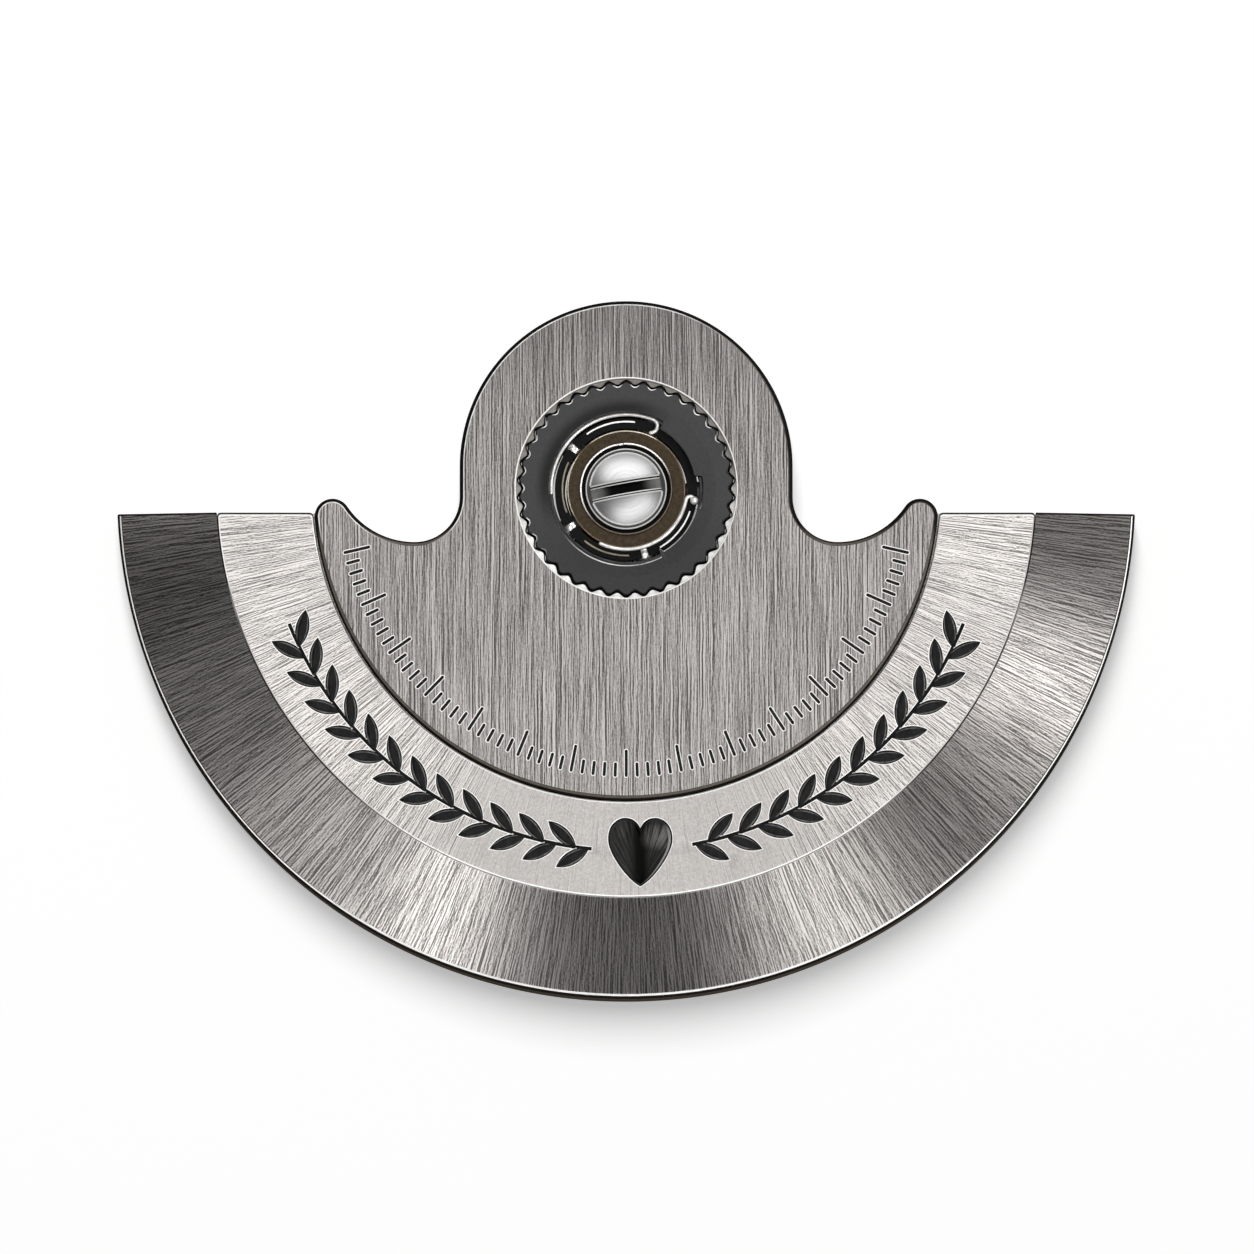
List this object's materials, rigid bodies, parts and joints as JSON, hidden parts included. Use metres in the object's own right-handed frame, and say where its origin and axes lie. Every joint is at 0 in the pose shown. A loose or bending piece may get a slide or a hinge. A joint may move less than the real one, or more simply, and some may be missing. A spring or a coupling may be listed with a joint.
{
  "type": "watch rotor",
  "caption": "Half-round oscillating weight of a self-winding watch, turning on a small ball bearing with a slotted centre screw.",
  "frame": {"origin": "on the bearing axis, at the seat of the fixed core on the movement's bridge, where the screw's thread begins", "axes": "+Z along the bearing axis, out of the engraved face; -Y towards the middle of the heavy segment; +X to the right seen from above"},
  "size_m": [0.025, 0.0171, 0.0018],
  "materials": {
    "plate_steel": "satin",
    "land_steel": "satin",
    "heavy_metal": "satin",
    "black_lacquer": "gloss",
    "dark_lacquer": "satin",
    "pin_steel": "satin",
    "black_steel": "matte",
    "race_steel": "polished",
    "wire_steel": "polished",
    "cage_steel": "satin",
    "sleeve_steel": "polished",
    "bronze": "satin",
    "screw_steel": "polished",
    "ball_steel": "polished"
  },
  "bodies": {
    "core": {"core_sleeve": "sleeve_steel", "lower_race": "race_steel", "upper_race": "bronze", "rotor_screw": "screw_steel"},
    "rotor": {"carrier_plate": "plate_steel", "land_ring": "land_steel", "heavy_rim": "heavy_metal", "heart_fill": "black_lacquer", "garland_fill": "black_lacquer", "scale_fill": "dark_lacquer", "plate_pins": "pin_steel", "toothed_ring": "black_steel", "outer_race": "race_steel", "hook_wire": "wire_steel", "ball_end_wire": "wire_steel"},
    "cage": {"ball_cage": "cage_steel"},
    "ball_1": {"ball_1": "ball_steel"},
    "ball_2": {"ball_2": "ball_steel"},
    "ball_3": {"ball_3": "ball_steel"},
    "ball_4": {"ball_4": "ball_steel"},
    "ball_5": {"ball_5": "ball_steel"}
  },
  "joints": [
    {"name": "rotor_spin", "type": "hinge", "parent": "core", "child": "rotor", "pos_m": [0, 0, 0.00062], "axis": [0, 0, 1], "continuous": true},
    {"name": "cage_spin", "type": "hinge", "parent": "core", "child": "cage", "pos_m": [0, 0, 0.00062], "axis": [0, 0, 1], "continuous": true},
    {"name": "ball_1_spin", "type": "hinge", "parent": "cage", "child": "ball_1", "pos_m": [-0.0013, 0.00102, 0.00062], "axis": [0, 0, 1], "continuous": true},
    {"name": "ball_2_spin", "type": "hinge", "parent": "cage", "child": "ball_2", "pos_m": [-0.00137, -0.00092, 0.00062], "axis": [0, 0, 1], "continuous": true},
    {"name": "ball_3_spin", "type": "hinge", "parent": "cage", "child": "ball_3", "pos_m": [0.00045, -0.00159, 0.00062], "axis": [0, 0, 1], "continuous": true},
    {"name": "ball_4_spin", "type": "hinge", "parent": "cage", "child": "ball_4", "pos_m": [0.00165, -0.00006, 0.00062], "axis": [0, 0, 1], "continuous": true},
    {"name": "ball_5_spin", "type": "hinge", "parent": "cage", "child": "ball_5", "pos_m": [0.00056, 0.00155, 0.00062], "axis": [0, 0, 1], "continuous": true}
  ],
  "couplings": [
    {"joint": "cage_spin", "follows": "rotor_spin", "ratio": 0.56428},
    {"joint": "ball_1_spin", "follows": "rotor_spin", "ratio": 3.8248},
    {"joint": "ball_2_spin", "follows": "rotor_spin", "ratio": 3.8248},
    {"joint": "ball_3_spin", "follows": "rotor_spin", "ratio": 3.8248},
    {"joint": "ball_4_spin", "follows": "rotor_spin", "ratio": 3.8248},
    {"joint": "ball_5_spin", "follows": "rotor_spin", "ratio": 3.8248}
  ]
}
